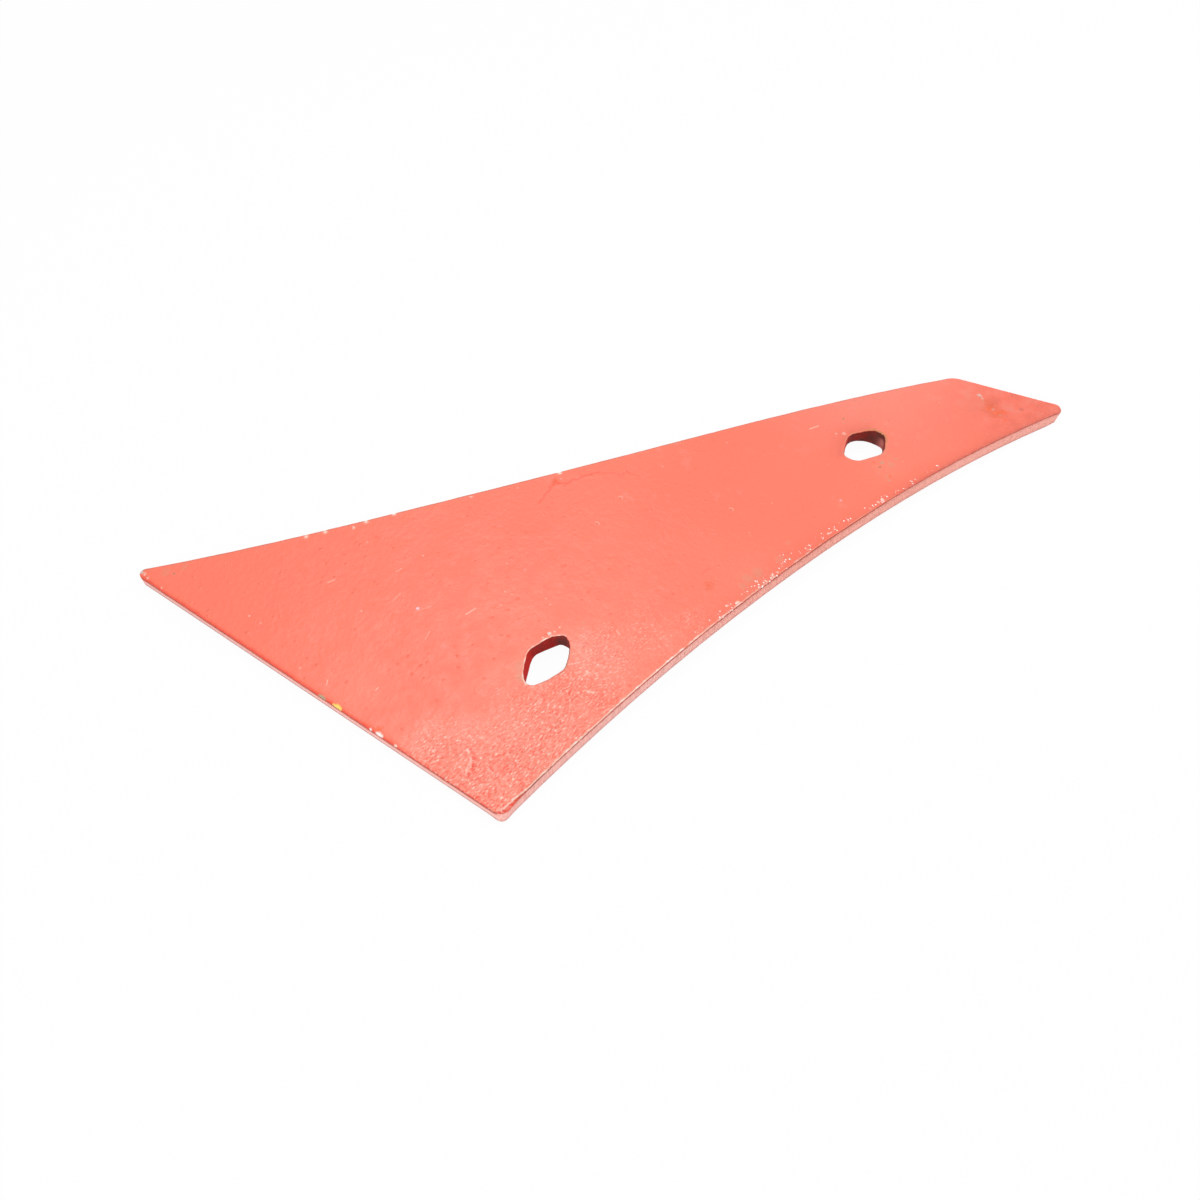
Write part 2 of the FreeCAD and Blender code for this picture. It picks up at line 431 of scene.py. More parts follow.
# Raised scars of the skin near the heel: start, end and half width
scars = [
    ((-197.1, -30.7), (-200.0, -35.1), 1.0), ((-200.0, -35.1), (-204.4, -37.2), 1.2),
    ((-204.4, -37.2), (-209.6, -37.9), 0.9), ((-197.4, -42.4), (-199.7, -46.5), 0.7),
    ((-199.7, -46.5), (-201.4, -50.4), 0.7), ((-187.1, -48.3), (-191.6, -54.3), 0.45),
    ((-191.6, -54.3), (-195.8, -60.5), 0.45), ((-174.8, -52.9), (-176.9, -63.8), 0.4),
]

# How far the top of the rear wall is set in from its foot, along X
rear_lean = [(-210, 0.4), (-120, 0.5), (-45, 0.8), (20, 1.2), (100, 1.4), (200, 1.1)]

# Small notches in the rim of the front edge
nicks = [(-114.6, 112.8), (-101.0, 102.8), (-133.7, 127.7), (-142.5, 134.7), (-19.4, 40.2)]

# Pitted zones of the skin, at the heel and along the rear edge: place, reach and strength
pitted_zones = [
    ((-214, -50), 36, 1.0), ((-190, -62), 34, 1.0), ((-206, -24), 26, 0.8), ((-165, -60), 34, 0.85),
    ((-140, -58), 30, 0.75), ((-116, -58), 27, 0.6), ((-95, -68), 24, 0.45), ((-72, -84), 17, 0.35),
]

# Places of the pitted skin with a finer mesh: place and reach
pitted_patches = [((-196, -50), 32), ((-165, -60), 28), ((-135, -62), 22)]


def stroke_gap(points, start, end):
    """Distance in plan from a straight stroke."""
    start, end = np.array(start), np.array(end)
    run = end - start
    t = np.clip((points[:, :2] - start) @ run / (run @ run), 0, 1)
    return np.linalg.norm(points[:, :2] - start - t[:, None] * run, axis=1)


def crack_gap(points, run):
    """Distance in plan from a run of straight strokes."""
    return np.min([stroke_gap(points, start, end) for start, end in zip(run[:-1], run[1:])], axis=0)


def wavy(points):
    """The points' places in plan, moved a little so that straight strokes bend."""
    return points[:, :2] + 0.9 * np.column_stack([rough(points, 4, 1, 95.0), rough(points, 4, 1, 97.0)])


def pitted(points):
    """How strongly the skin is pitted, 0 to 1."""
    mask = np.max([strength * blot(points, place, reach) for place, reach, strength in pitted_zones], axis=0)
    return smooth(0.05, 1.0, mask + 0.12 * rough(points, 14, 2, 3.1))


def chip_share(points, place, along, across):
    """How far each point lies in a chip of the wide end's rim, 1 at its middle."""
    x, y = (points[:, 0] - place[0]) / across, (points[:, 1] - place[1]) / along
    return smooth(1.3, 0.6, np.hypot(x, y) + 0.25 * rough(points, 1.5, 2, 28.0))


def face_relief(points):
    """Height of the worn skin over the true face, in mm."""
    skin = pitted(points)
    drawn = points * (0.6, 1.0, 1.0)
    height = 0.10 * rough(points, 62, 2, 1.0) + 0.07 * rough(points, 17, 2, 5.0)
    height += skin * (0.5 * rough(drawn, 6.0, 2, 9.0) + 0.3 * rough(drawn, 2.4, 1, 12.0))
    height += 0.06 * rough(points, 4.5, 2, 21.0)
    bent = wavy(points)
    uneven = 0.4 * rough(points, 2.5, 1, 25.0)
    for start, end, width in scars:
        gap = stroke_gap(bent, start, end) + uneven
        ridge = np.exp(-((gap / width) ** 2))
        ditch = np.exp(-((gap / (2.4 * width)) ** 2))
        height += width * (0.5 * ridge - 0.2 * ditch)
    for start, end, width, shown in scratches:
        height -= 0.08 * np.exp(-((stroke_gap(points, start, end) / width) ** 2))
    for shown, run in cracks:
        height -= 0.1 * shown * np.exp(-((crack_gap(points, run) / 0.5) ** 2))
    for tint, shown, places in spots[:sunk_rows]:
        for x, y, radius in places:
            height -= 0.07 * shown * blot(points, (x, y), radius)
    for place in blisters:
        height += 0.10 * blot(points, place, 1.2) - 0.2 * blot(points, place, 0.5)
    for place, along, across, tint in rim_chips:
        height -= 0.35 * chip_share(points, place, along, across)
    return height


outlines = wall_outlines(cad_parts[NODE])
fine_runs = [(place, along + 2) for place, along, across, tint in rim_chips]
fine_runs += [(nick, 3) for nick in nicks]
fine_runs += [(heel + (3, 3), 11), (toe + (2, -2), 8), (tip + (-5, 3), 12)]
outer = outer_edge(outlines[0], fine_runs)
edges = [outer] + [hole_edge(loop, worn) for loop, worn in zip(outlines[1:], hole_outlines)]

# Nearest point of any wall, for the depth of a place inside the steel
wall_points = np.vstack([edge.points for edge in edges])
wall_out = np.vstack([edge.out for edge in edges])
wall_tree = kdtree.KDTree(len(wall_points))
for k, (x, y) in enumerate(wall_points):
    wall_tree.insert((x, y, 0), k)
wall_tree.balance()


def depths(points):
    """Distance in plan to the nearest wall, positive inside the steel, and that wall point's number."""
    found = np.array([wall_tree.find((x, y, 0))[1] for x, y in points[:, :2]])
    away = points[:, :2] - wall_points[found]
    side = np.einsum("ij,ij->i", away, wall_out[found])
    return -np.sign(side) * np.linalg.norm(away, axis=1), found


def sides(place, out):
    """How far each place belongs to the rear edge and to the wide end, and how far towards the tip it is."""
    return smooth(0.2, 0.7, -out[:, 1]), smooth(0.85, 0.98, -out[:, 0]), smooth(40, 130, place[:, 0])


def lean_at(x):
    """How far the top of the rear wall is set in at x."""
    return np.interp(x, *np.transpose(rear_lean))


def outer_rows(edge):
    """Plan points and heights of the outer edge's rows, from the face to the back."""
    place = np.column_stack([edge.points, np.zeros(len(edge.points))])
    ragged = 0.12 * rough(place, 9, 2, 31.0) + 0.08 * rough(place, 2.2, 2, 37.0)
    rear, wide, far = sides(place, edge.out)
    worn = 1.3 * blot(place, heel + (5, -1), 9) * rear + 0.9 * sum(blot(place, nick, 1.1) for nick in nicks)
    drop = 1.9 * blot(place, heel + (3, -1), 8) * rear
    tight = 1 - 0.35 * rear * (1 - 0.6 * far) - 0.3 * wide
    lip = 0.14 * rear * (1 - far) * (1 + rough(place, 4, 2, 41.0))
    made = []
    for number, (inset, fall, worn_share, drop_share) in enumerate(rim_rows):
        set_in = inset * (tight if inset < 1 else 1) + rear * lean_at(edge.points[:, 0])
        set_in = set_in + worn_share * worn + (0.5 if inset > 2 else 1.0) * ragged
        plan = edge.points - edge.out * set_in[:, None]
        droop = droop_depth * wide * math.exp(-inset / droop_fade) * (number <= WALL_ROW)
        height = face_height(plan[:, 0]) - fall * tight - drop_share * drop - droop
        made.append(np.column_stack([plan, height + lip * (number in LIP_ROWS)]))
    return made


def hole_rows_of(edge, number):
    """Plan points and heights of a hole's rows, from the face into the bore."""
    place = np.column_stack([edge.points, np.zeros(len(edge.points))])
    ragged = 0.24 * rough(place, 3.6, 2, 51.0 + number) + 0.16 * rough(place, 1.3, 1, 57.0)
    made = []
    for inset, fall in hole_rows:
        plan = edge.points - edge.out * (inset + (0.4 if inset > 1 else 1.0) * ragged)[:, None]
        made.append(np.column_stack([plan, face_height(plan[:, 0]) - fall + 0.5 * (fall > 0) * ragged]))
    return made


def edge_rows(edge, number):
    """Points of an edge's rows from the face to the back, as an array of rows by points by three."""
    above = hole_rows_of(edge, number) if number else outer_rows(edge)
    below = []
    for inset, rise in under_rows:
        plan = edge.under - outward(edge.under) * (inset * (0.4 if number and inset < 1 else 1))
        below.append(np.column_stack([plan, back_height(plan[:, 0]) + rise * (0.4 if number else 1)]))
    upper, lower = above[-1], below[0]
    wall = [upper + (lower - upper) * share for share in wall_shares]
    return np.array(above + wall + below)


def inside(points, loops):
    """True where a point is inside the first loop and in none of the others."""
    x, y = points.T
    odd = np.zeros(len(points), bool)
    for loop in loops:
        for (x0, y0), (x1, y1) in zip(loop, np.roll(loop, -1, axis=0)):
            crosses = (y0 > y) != (y1 > y)
            odd ^= crosses & (x < x0 + (x1 - x0) * (y - y0) / (y1 - y0 if y1 != y0 else 1))
    return odd


def hexes(low, high, spacing):
    """Points of a hexagonal pattern between two corners."""
    rows = np.arange(low[1], high[1], spacing * math.sqrt(3) / 2)
    columns = np.arange(low[0], high[0], spacing)
    x, y = np.meshgrid(columns, rows)
    x = x + np.where(np.arange(len(rows)) % 2, spacing / 2, 0)[:, None]
    return np.column_stack([x.ravel(), y.ravel()])


def patch(loops, spacing, rim_inset, fine=()):
    """Points that fill the first loop around the others, and triangles between these and the loops' own."""
    rims = np.vstack(loops)
    low, high = rims.min(axis=0), rims.max(axis=0)
    field = hexes(low, high, spacing)
    for place, reach, near_spacing in fine:
        gap = np.linalg.norm(field - place, axis=1)
        near = hexes(np.array(place) - reach, np.array(place) + reach, near_spacing)
        near = near[np.linalg.norm(near - place, axis=1) < reach]
        field = np.vstack([field[gap > reach + near_spacing / 2], near])
    depth, nearest = depths(field)
    by_outer = nearest < len(outer.points)
    need = np.where(by_outer, rim_inset[0] + lean_at(field[:, 0]), rim_inset[1]) + 0.4 * min(spacing, 1.5)
    field = field[depth > need + 1.5 * blot(field, heel + (5, -1), 10)]
    points = np.vstack([rims, field])
    lines, start = [], 0
    for loop in loops:
        count = len(loop)
        lines += [(start + k, start + (k + 1) % count) for k in range(count)]
        start += count
    found = delaunay_2d_cdt([Vector(p) for p in points], lines, [], 0, 1e-6)
    source = np.array([ids[0] for ids in found[3]])
    triangles = source[np.array(found[2])]
    a, b, c = (points[triangles[:, k]] for k in range(3))
    area = (b[:, 0] - a[:, 0]) * (c[:, 1] - a[:, 1]) - (b[:, 1] - a[:, 1]) * (c[:, 0] - a[:, 0])
    triangles = np.where((area > 0)[:, None], triangles, triangles[:, ::-1])
    on_rim = (triangles < len(rims)).all(axis=1)
    keep = ~on_rim
    keep[on_rim] = inside((a + b + c)[on_rim] / 3, loops)
    return field, triangles[keep]


class Shell:
    """The plate's closed skin: points, faces, and the part and the row that each point belongs to."""

    def __init__(self):
        self.points, self.faces, self.part, self.row = [], [], [], []
        self.count = 0

    def add(self, points, part, row):
        first = self.count
        self.points.append(points)
        self.part.append(np.full(len(points), part))
        self.row.append(np.full(len(points), row))
        self.count += len(points)
        return first


# Parts of the skin
OUTER, WIDE_HOLE, TIP_HOLE, FACE, BACK = range(5)

shell = Shell()
face_loops, back_loops = [], []
for number, edge in enumerate(edges):
    rows = edge_rows(edge, number)
    firsts = [shell.add(points, number, k) for k, points in enumerate(rows)]
    count = len(edge.points)
    here, onward = np.arange(count), (np.arange(count) + 1) % count
    for upper, lower in zip(firsts[:-1], firsts[1:]):
        shell.faces.append(np.column_stack([upper + here, lower + here, lower + onward, upper + onward]))
    face_loops.append((firsts[0] + here, rows[0][:, :2]))
    back_loops.append((firsts[-1] + here, rows[-1][:, :2]))

fine_places = [(place, reach, pit_spacing) for place, reach in pitted_patches]
for tint, shown, places in spots[:finer_rows]:
    fine_places += [((x, y), radius + 0.8, mark_spacing) for x, y, radius in places if radius < 2]
fine_places += [(place, 2.0, mark_spacing) for place in blisters]
fine_places += [(place, 3.2, mark_spacing) for place, along, across, tint in rim_chips[:3]]
strokes = [(start, end) for start, end, width, shown in scratches]
strokes += [pair for shown, run in cracks for pair in zip(run[:-1], run[1:])]
for start, end in strokes:
    for share in np.linspace(0, 1, round(math.dist(start, end) / 1.2) + 1):
        place = np.array(start) * (1 - share) + np.array(end) * share
        fine_places.append((tuple(place), 1.0, mark_spacing))

face_insets = (rim_rows[0][0], hole_rows[0][0])
back_insets = (under_rows[-1][0], under_rows[-1][0])
for part, loops, spacing, insets, fine, surface in (
    (FACE, face_loops, face_spacing, face_insets, fine_places, face_height),
    (BACK, back_loops, back_spacing, back_insets, (), back_height),
):
    field, triangles = patch([plan for ids, plan in loops], spacing, insets, fine)
    first = shell.add(np.column_stack([field, surface(field[:, 0])]), part, 0)
    ids = np.concatenate([ids for ids, plan in loops] + [first + np.arange(len(field))])
    shell.faces.append(ids[triangles] if part == FACE else ids[triangles[:, ::-1]])

points = np.vstack(shell.points)
part = np.concatenate(shell.part)
row = np.concatenate(shell.row)
depth, nearest = depths(points)
out = wall_out[nearest]
outer_part = part == OUTER
bore_part = (part == WIDE_HOLE) | (part == TIP_HOLE)
on_face = (part == FACE) | outer_part & (row < WALL_ROW) | bore_part & (row < BORE_ROW)
fade = np.where(part == FACE, 1.0, np.clip(1.2 - 0.2 * row, 0, 1))
points[on_face, 2] += fade[on_face] * face_relief(points[on_face])
on_back = part == BACK
points[on_back, 2] += 0.12 * rough(points[on_back], 30, 2, 44.0) * smooth(3.4, 9, depth[on_back])

# Colour of the paint at each point
paint = np.tile(coral, (len(points), 1))


def lay(tint, amount):
    """Lays a colour over the paint by an amount of 0 to 1 at each point."""
    amount = np.clip(amount, 0, 1)[:, None]
    paint[:] = paint * (1 - amount) + tint * amount


def lay_rows(tint, mask, amounts):
    """Lays a colour on rows of the outer edge, on each by its own amount."""
    for number, amount in amounts.items():
        lay(tint, outer_part * mask * (row == number) * amount)


px, py = points[:, 0], points[:, 1]
rear, wide, far = sides(points, out)
front = smooth(0.5, 0.9, out[:, 1])
grain = rough(points, 3.2, 2, 50.0)
slow = rough(points, 18, 2, 60.0)
cloud = rough(points, 9, 3, 90.0)
ragged = 0.45 * rough(points, 1.1, 2, 80.0)
bent = wavy(points)

# Zones of the face near the heel, the wide hole and the wide end, lightened with painted sheen: place, reach
# and how much shows
sheen_zones = [
    ((-176, -62), 34, 1.0), ((-206, -38), 22, 1.0), ((-118, -54), 26, 0.6), ((-86, -78), 14, 0.35),
    ((-208, -14), 17, 0.8), ((-198, 38), 26, 0.35),
]
pale = sum(shown * blot(points, place, reach) for place, reach, shown in sheen_zones)
lay(sheen_coral, on_face * smooth(0.1, 0.9, pale) * 0.8)

# Scars, each with a painted highlight along its crest and a painted shadow in deep coral on its shaded side,
# which lies a little off the crest, by this many mm
shade_offset = np.array([0.95, -1.41])
for start, end, width in scars:
    shown = on_face * smooth(0.2, 1.0, width) * smooth(-0.7, 0.2, grain)
    shade_gap = stroke_gap(bent - shade_offset, start, end) + ragged
    lay(coral_deep, 0.6 * shown * smooth(1.7 * width, 0.5, shade_gap))
    lay(scar_highlight, shown * smooth(0.8 * width, 0.2, stroke_gap(bent, start, end) + ragged))

# Bands along the rims, and the duller colour of the tip
near_rear = on_face * rear * (1 - far)
at_tip = on_face * smooth(150, 195, px)
lay(dull_coral, on_face * 0.75 * front * smooth(2.8, 0.3, depth) * smooth(-0.8, 0.3, grain))
lay(dull_coral, 0.5 * near_rear * smooth(4.5, 0.5, depth) * smooth(-0.7, 0.5, slow + grain))
lay(tip_coral, on_face * 0.5 * rear * far * smooth(7, 0.5, depth) * (1 + 0.4 * grain))
lay(tip_coral, on_face * 0.3 * smooth(95, 190, px + 10 * slow) * smooth(-110, -150, py))
lay(faded_coral, on_face * 0.8 * smooth(-175, -60, py + 8 * slow) * smooth(60, 170, px))
lay(faded_coral, at_tip * 0.5 * smooth(0.0, 0.7, cloud))
mottled = smooth(0.1, 0.7, rough(points, 5, 3, 63.0)) * smooth(0.0, 0.6, rough(points, 30, 2, 66.0))
lay(faded_coral, on_face * 0.45 * mottled)
lay(tip_coral, at_tip * 0.6 * smooth(0.0, -0.7, cloud) * smooth(-140, -165, py))
lay(tip_coral, on_face * 0.3 * rear * smooth(-80, -30, px) * smooth(16, 1, depth))

# Soft stains of the face: place, radius, colour and how much shows
stains = [
    ((-149.5, -28.5), 3.5, green_grey, 0.24), ((-143.5, -22.5), 3.5, green_grey, 0.24),
    ((-150, -22), 9, green_grey, 0.12), ((-24, -97), 15, dull_coral, 0.25),
    ((212, -184), 13, tip_coral, 0.4), ((186, -148), 9, dull_coral, 0.25),
    ((98, -124), 11, green_grey, 0.12), ((75, -75), 26, dull_coral, 0.08), ((192, -162), 17, tip_coral, 0.2),
]
for place, radius, tint, shown in stains:
    lay(tint, on_face * shown * blot(points, place, radius) * (1 + 0.5 * grain))

# Walls of the outer edge, with a dark line at their foot
walled = np.where(outer_part & (row >= WALL_ROW), 1.0, 0.0)
foot_row = len(rim_rows) + len(wall_shares) - 1
lay(wall_coral, walled)
lay(wall_pink, walled * smooth(-20, -110, px + 20 * slow))
lay(wall_pale, walled * wide)
lay(wall_mauve, walled * (row >= foot_row) * (0.8 * wide + 0.3 * rear))

# Painted shade along the rims of the outer edge, as amounts of a darker colour by row: deep coral and red-brown
# at the wide end, red-brown on the front rim and in the groove under the rear rim's lip
lay_rows(rim_shade_brown, wide, {7: 0.7, 8: 0.85, 9: 0.6, 10: 0.2})
thin = 1 - 0.7 * smooth(20, -40, py)
wide_shade = {number: amount * thin + 0.25 * grain for number, amount in {2: 0.15, 3: 0.4, 4: 0.75}.items()}
lay_rows(coral_deep, wide, {**wide_shade, 5: 1.0, 6: 1.0})
front_shade = {3: 0.3, 4: 0.5, 5: 0.65, 6: 0.65, 7: 0.4}
lay_rows(rim_shade_brown, front, {number: amount + 0.3 * grain for number, amount in front_shade.items()})
band = smooth(-90, -20, px + 12 * slow) * (1 - 0.5 * far)
near_shade = {5: 1.0, 6: 1.0, 7: 0.9, 8: 0.2 + 0.2 * band, 9: 0.1 * band}
far_shade = {2: 0.15, 3: 0.35, 4: 0.7, 5: 1.0, 6: 1.0, 7: 0.6, 8: 0.15}
lay_rows(rim_shade_brown, rear * (1 - far) * (1 + 0.3 * grain), near_shade)
lay_rows(rim_shade_brown, rear * far * (1 + 0.3 * grain), far_shade)

# Lip of the rear rim, raised and partly bare, with a painted highlight in cream and white along it; painted
# shade in brown in the groove under it near the heel; a painted shadow in deep coral on the worn corner at the
# heel; and the nicks of the front rim
lip_wear_and_highlight = smooth(-0.35, 0.3, slow + 0.6 * grain + 0.3 * (px < 20))
lip_wear_and_highlight = np.maximum(lip_wear_and_highlight, smooth(-165, -180, px)) * (1 - 0.6 * smooth(-110, -30, px))
lip_wear_and_highlight = outer_part * rear * (1 - far) * lip_wear_and_highlight * (1 - 0.85 * smooth(-20, 40, px))
lay(brown, outer_part * rear * 0.5 * np.isin(row, GROOVE_ROWS) * smooth(-120, -170, px))
lay(cream, lip_wear_and_highlight * (0.9 * (row == LIP_ROWS[1]) + 0.3 * (row == LIP_ROWS[0])))
lay(white, 0.9 * lip_wear_and_highlight * np.isin(row, LIP_ROWS) * smooth(0.1, 0.5, grain))
heel_shadow = outer_part * blot(points, heel + (4, -1), 9) * (1 - wide)
lay(coral_deep, 1.2 * heel_shadow * np.isin(row, (5, 6, 7)))
for nick in nicks:
    lay(cream, outer_part * (row < WALL_ROW) * blot(points, nick, 1.1))

# Bores of the two holes in red paint, with painted shade in darker red and brown on the walls that face away
# from the lamps and painted light in lighter red and pink in the tip hole, and their rims
bored = np.where(bore_part & (row >= BORE_ROW), 1.0, 0.0)
patchy = smooth(-0.3, 0.4, rough(points, 5, 2, 70.0))
at_tip_hole = part == TIP_HOLE
lay(bore_red, bored)
# Painted shade in dark red on the walls that face away from the lamps
lay(bore_shade_red, bored * smooth(0.15, -0.25, out[:, 0]) * (0.7 + 0.3 * patchy))
# Painted light in lighter red on the tip hole's walls that face the lamps
lay(coral_deep, bored * at_tip_hole * smooth(-0.3, 0.5, out[:, 0]))
# Painted shade in brown where the walls face furthest from the lamps, and on the +X side of the tip hole
lay(bore_shade_brown, bored * smooth(-0.55, -0.9, out[:, 0]) * (0.6 + 0.3 * patchy))
lay(bore_shade_brown, bored * at_tip_hole * smooth(97, 118, px) * (0.4 + 0.5 * patchy))
# Painted light in pink, low on the tip hole's wall
lay(bore_lit_pink, bored * blot(points, (121.0, -112.5), 3.0) * (row > len(hole_rows)) * 0.9)
# Rims on the side of each hole towards +Y: cream on the wide hole's, partly bare paint and partly a painted
# highlight; a line of painted shade at the top of each bore; rusty orange and green-grey on the tip hole's
rim_light = bore_part * smooth(0.3, -0.3, out[:, 1])
bare_and_lit_rim = (row == 3) * (0.8 + 0.6 * grain) + (row == 2) * (0.1 + 1.2 * grain)
lay(cream, rim_light * (part == WIDE_HOLE) * bare_and_lit_rim)
lay(rim_shade_brown, rim_light * (row == BORE_ROW) * 0.8)
lay(tan, at_tip_hole * np.isin(row, (1, 2, 3)) * (1.3 + 0.6 * grain) * blot(points, (125, -108), 9))
lay(orange, rim_light * (row == 3) * at_tip_hole * (0.4 + 0.6 * grain))
lay(green_grey, rim_light * (row == 2) * at_tip_hole * (0.3 + 0.6 * grain))
lay(tan, (part == FACE) * 0.3 * smooth(1.0, 0.2, np.abs(depth - 4.2)) * blot(points, (130, -112), 6))

# Marks of the face
for tint, shown, places in spots:
    for x, y, radius in places:
        gap = np.linalg.norm(points[:, :2] - (x, y), axis=1) - radius * (1 + ragged)
        lay(tint, on_face * shown * smooth(0.3, -0.3, gap))
for place in blisters:
    gap = np.linalg.norm(points[:, :2] - place, axis=1)
    ring = smooth(0.6, 0.1, np.abs(gap - 1.2)) * smooth(-0.6, 0.6, px - place[0])
    lay(cream, on_face * 0.3 * ring)
    lay(brown, on_face * 0.6 * smooth(0.6, 0.2, gap))
for start, end, width, shown in scratches:
    lay(cream, on_face * shown * smooth(width, 0, stroke_gap(points, start, end)))
for shown, run in cracks:
    lay(coral_deep, on_face * shown * smooth(0.9, 0.2, crack_gap(bent, run) + 0.5 * ragged))
for place, along, across, tint in rim_chips:
    above_wall = (part == FACE) | outer_part & (row < WALL_ROW)
    lay(tint, above_wall * chip_share(points, place, along, across))

# Masks that the material reads
speckled = np.zeros(len(points))
for (x, y), along, across, dense in clusters:
    off_edge = py - y + rear_slope * (px - x)
    gap = np.hypot((px - x) / along, off_edge / across)
    speckled = np.maximum(speckled, on_face * dense * smooth(1.5, 0.3, gap))
masks = {
    "skin": pitted(points) * on_face,
    "speckled": speckled,
    "bored": bored,
    "walled": walled * (1 - 0.6 * wide - 0.55 * rear * far),
}

mesh = bpy.data.meshes.new("plate_skin")
faces = [tuple(int(v) for v in face) for group in shell.faces for face in group]
mesh.from_pydata([tuple(p) for p in (points * MM)], [], faces)
mesh.update()
mesh.polygons.foreach_set("use_smooth", [True] * len(mesh.polygons))
painted = mesh.color_attributes.new("paint", "FLOAT_COLOR", "POINT")
painted.data.foreach_set("color", np.column_stack([paint, np.ones(len(paint))]).astype(np.float32).ravel())
for name, values in masks.items():
    mask = mesh.attributes.new(name, "FLOAT", "POINT")
    mask.data.foreach_set("value", values.astype(np.float32))
plate = bpy.data.objects.new("plate_skin", mesh)
bpy.context.scene.collection.objects.link(plate)


class Nodes:
    """The node tree of a material or of the world, with short calls for the nodes that it needs."""

    def __init__(self, owner):
        owner.use_nodes = True
        self.tree = owner.node_tree
        self.tree.nodes.clear()

    def add(self, kind, **settings):
        node = self.tree.nodes.new(kind)
        for key, value in settings.items():
            setattr(node, key, value)
        return node

    def feed(self, socket, value):
        if isinstance(value, bpy.types.NodeSocket):
            self.tree.links.new(value, socket)
        else:
            socket.default_value = value

    def maths(self, operation, first, second, clamp=False):
        node = self.add("ShaderNodeMath", operation=operation, use_clamp=clamp)
        self.feed(node.inputs[0], first)
        self.feed(node.inputs[1], second)
        return node.outputs[0]

    def times(self, first, second):
        return self.maths("MULTIPLY", first, second)

    def ramp(self, value, low, high, start=0.0, end=1.0):
        node = self.add("ShaderNodeMapRange", interpolation_type="SMOOTHSTEP")
        for number, item in enumerate((value, low, high, start, end)):
            self.feed(node.inputs[number], item)
        return node.outputs[0]

    def blend(self, amount, first, second, kind="MIX"):
        node = self.add("ShaderNodeMix", data_type="RGBA", blend_type=kind)
        self.feed(node.inputs[0], amount)
        self.feed(node.inputs[6], first)
        self.feed(node.inputs[7], second)
        return node.outputs[2]

    def darken(self, amount, base, tint):
        return self.blend(amount, base, (*tint, 1), "MULTIPLY")

    def noise(self, place, size, detail=2.0, roughness=0.5):
        node = self.add("ShaderNodeTexNoise")
        self.feed(node.inputs["Vector"], place)
        self.feed(node.inputs["Scale"], 1 / (size * MM))
        self.feed(node.inputs["Detail"], detail)
        self.feed(node.inputs["Roughness"], roughness)
        return node.outputs[0]

    def cells(self, place, size):
        node = self.add("ShaderNodeTexVoronoi")
        self.feed(node.inputs["Vector"], place)
        self.feed(node.inputs["Scale"], 1 / (size * MM))
        return node.outputs["Distance"]

    def attribute(self, name, output="Fac"):
        node = self.add("ShaderNodeAttribute", attribute_type="GEOMETRY", attribute_name=name)
        return node.outputs[output]

    def stretched(self, place, kind, scale, turn=0.0):
        node = self.add("ShaderNodeMapping", vector_type=kind)
        self.feed(node.inputs["Vector"], place)
        self.feed(node.inputs["Rotation"], (0, 0, turn))
        self.feed(node.inputs["Scale"], scale)
        return node.outputs[0]

    def bump(self, height, depth_mm, under=None):
        node = self.add("ShaderNodeBump")
        self.feed(node.inputs["Strength"], 1.0)
        self.feed(node.inputs["Distance"], depth_mm * MM)
        self.feed(node.inputs["Height"], height)
        if under is not None:
            self.feed(node.inputs["Normal"], under)
        return node.outputs[0]

    def finish(self, shader, kind="ShaderNodeOutputMaterial"):
        self.feed(self.add(kind).inputs["Surface"], shader)


# Tints that darken the paint, as shares of its red, green and blue: in broad and fine patches, as painted shade
# in the pits' hollows and lower patches, and in streaks on the walls
broad_tint = (0.96, 0.90, 0.88)
fine_tint = (1.0, 0.90, 0.88)
hollow_shade_tint = (1.0, 0.44, 0.37)
dip_shade_tint = (0.98, 0.72, 0.68)
streak_tint = (0.86, 0.70, 0.68)

# The pits are drawn out along the rolling of the steel: by how much, and turned how far off X, in radians
pit_stretch = (2.2, 1.0, 1.0)
pit_turn = -0.26


def mottled_paint(m, base, place):
    """The paint's colour with its broad and fine patches."""
    broad = m.ramp(m.noise(place, 75, 3), 0.35, 0.65)
    base = m.darken(m.times(broad, 0.5), base, broad_tint)
    fine = m.ramp(m.noise(place, 1.6, 3), 0.3, 0.7)
    return m.darken(m.times(fine, 0.35), base, fine_tint)


def pitted_paint(m, base, skin, peel, lumps):
    """The colour with painted shade in the pitted skin's hollows and lower patches, painted sheen on its
    crests, and painted glints.
    """
    hollow_shade = m.times(m.ramp(peel, 0.48, 0.36), skin)
    base = m.darken(hollow_shade, base, hollow_shade_tint)
    crest_sheen = m.times(m.ramp(peel, 0.52, 0.64), skin)
    base = m.blend(m.times(crest_sheen, 0.85), base, (*sheen, 1))
    dip_shade = m.times(m.ramp(lumps, 0.42, 0.1), skin)
    base = m.darken(m.times(dip_shade, 0.3), base, dip_shade_tint)
    glint = m.times(m.ramp(peel, 0.62, 0.67), skin)
    return m.blend(m.times(glint, 0.9), base, (*cream, 1))


def speckled_paint(m, base, place, speckled):
    """The colour with the fine white chips of the rear edge, each in a ring of painted shadow in deep coral."""
    gap = m.cells(place, 1.7)
    chosen = m.ramp(m.maths("ADD", m.noise(place, 3.0, 2), m.times(speckled, 0.24)), 0.60, 0.68)
    chosen = m.times(chosen, m.ramp(speckled, 0.1, 0.5))
    chip_shadow = m.times(m.ramp(gap, 0.6, 0.3), chosen)
    base = m.blend(m.times(chip_shadow, 0.35), base, (*coral_deep, 1))
    dots = m.times(m.ramp(gap, 0.34, 0.24), chosen)
    return m.blend(dots, base, (*white, 1))


